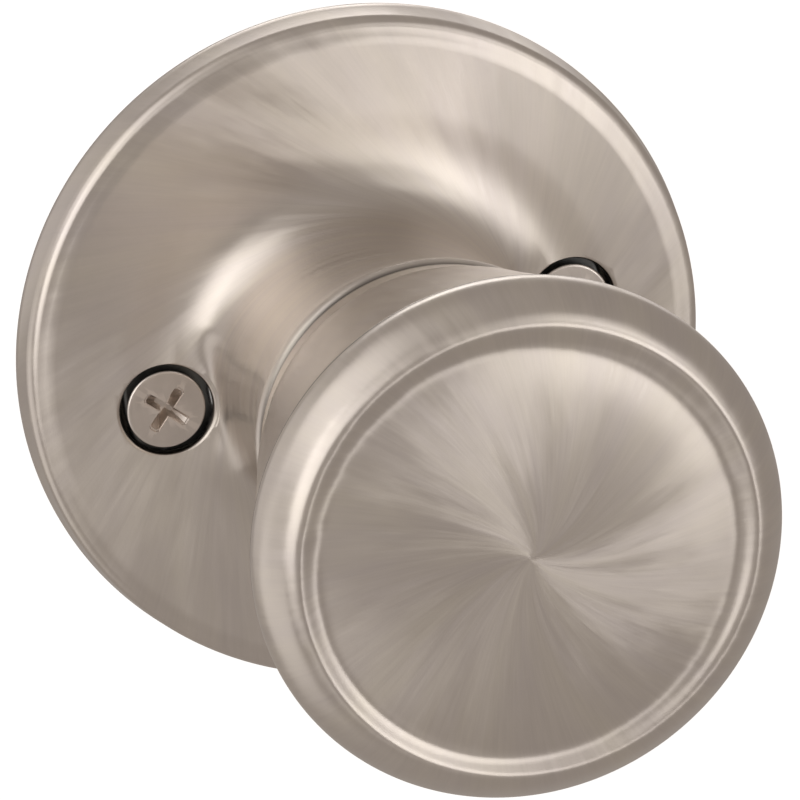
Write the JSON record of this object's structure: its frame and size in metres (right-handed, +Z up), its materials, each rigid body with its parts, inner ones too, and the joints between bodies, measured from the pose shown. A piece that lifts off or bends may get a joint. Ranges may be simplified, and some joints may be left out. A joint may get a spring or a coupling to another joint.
{
  "type": "door knob half set",
  "caption": "Round door knob turning in a trumpet rose with two through screws, a square spindle, a spring return and a push-in release catch.",
  "frame": {"origin": "the knob's axis at the door's face, where the rose's rim rests", "axes": "+Y into the door along the spindle, the knob points to -Y, +X to the right, +Z up"},
  "size_m": [0.068, 0.1124, 0.068],
  "materials": {
    "satin_nickel": "satin nickel plate, brushed radially",
    "zinc_steel": "zinc plated",
    "nickel_screw": "nickel plated",
    "spring_steel": "oiled spring steel",
    "die_cast": "as cast",
    "nylon": "moulded"
  },
  "bodies": {
    "rose_assembly": {"rose": "satin_nickel", "mounting_plate": "zinc_steel", "spring_cup": "zinc_steel", "cup_rivet_1": "zinc_steel", "cup_rivet_2": "zinc_steel", "cup_rivet_3": "zinc_steel", "return_spring": "spring_steel", "collar_bush": "nylon", "thrust_washer": "zinc_steel", "mounting_screw_left": "nickel_screw", "mounting_screw_right": "nickel_screw"},
    "knob": {"knob_bowl": "satin_nickel", "knob_face": "satin_nickel", "knob_core": "die_cast", "face_filler": "nylon", "drive_sleeve": "die_cast", "driver_cam": "zinc_steel", "retaining_clip": "spring_steel", "spindle": "zinc_steel", "spindle_pin": "zinc_steel", "catch_spring": "spring_steel"},
    "release_catch": {"knob_catch": "zinc_steel"}
  },
  "joints": [
    {"name": "knob_turn", "type": "hinge", "parent": "rose_assembly", "child": "knob", "pos_m": [0, 0, 0], "axis": [0, -1, 0], "range_deg": [-55, 55], "stiffness_Nm_per_rad": 0.15, "deforming": ["return_spring"]},
    {"name": "catch_press", "type": "slide", "parent": "knob", "child": "release_catch", "axis": [0.9135, 0, -0.4067], "range_m": [0, 0.0016], "stiffness_N_per_m": 800, "deforming": ["catch_spring"]}
  ]
}
